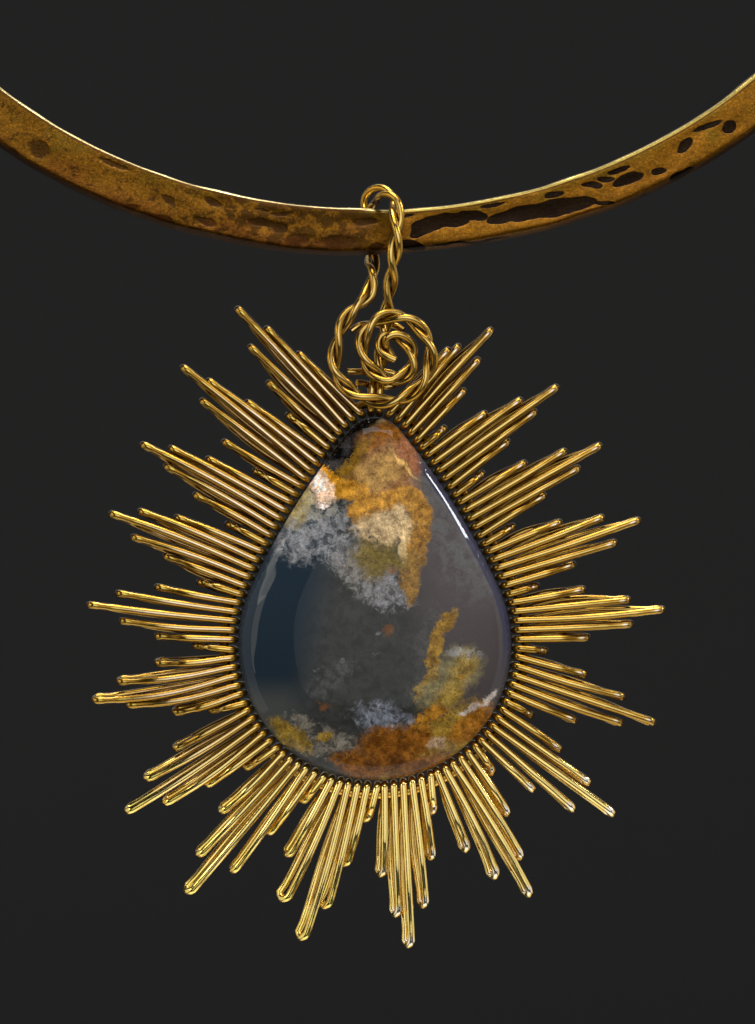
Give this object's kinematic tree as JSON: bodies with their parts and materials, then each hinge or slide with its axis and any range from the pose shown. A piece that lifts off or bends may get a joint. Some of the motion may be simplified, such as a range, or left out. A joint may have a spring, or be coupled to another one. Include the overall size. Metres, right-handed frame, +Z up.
{
  "type": "agate necklace",
  "caption": "Rigid hammered brass neck ring with a free-hanging wire sunburst pendant round a pear-shaped agate cabochon.",
  "frame": {"origin": "centre of the neck ring, where the neck goes through", "axes": "+Z up, the pendant and the front of the ring face -Y, +X to the right as seen from the front"},
  "size_m": [0.1346, 0.0634, 0.1991],
  "materials": {
    "hammered_brass": "satin",
    "brass_wire": "polished",
    "agate": "polished"
  },
  "bodies": {
    "ring": {"neck_ring": "hammered_brass", "clasp": "hammered_brass"},
    "pendant": {"frame_wire": "brass_wire", "bail_wire_1": "brass_wire", "bail_wire_2": "brass_wire", "tie_wire_1": "brass_wire", "tie_wire_2": "brass_wire", "agate": "agate", "rays_01": "brass_wire", "rays_02": "brass_wire", "rays_03": "brass_wire", "rays_04": "brass_wire", "rays_05": "brass_wire", "rays_06": "brass_wire", "rays_07": "brass_wire", "rays_08": "brass_wire", "rays_09": "brass_wire", "rays_10": "brass_wire", "rays_11": "brass_wire", "rays_12": "brass_wire", "rays_13": "brass_wire", "rays_14": "brass_wire", "rays_15": "brass_wire", "rays_16": "brass_wire", "rays_17": "brass_wire", "rays_18": "brass_wire"}
  },
  "joints": [
    {"name": "pendant_swing", "type": "hinge", "parent": "ring", "child": "pendant", "pos_m": [0.0008, -0.02757, -0.05653], "axis": [1, 0, 0], "range_deg": [-12, 12]}
  ]
}
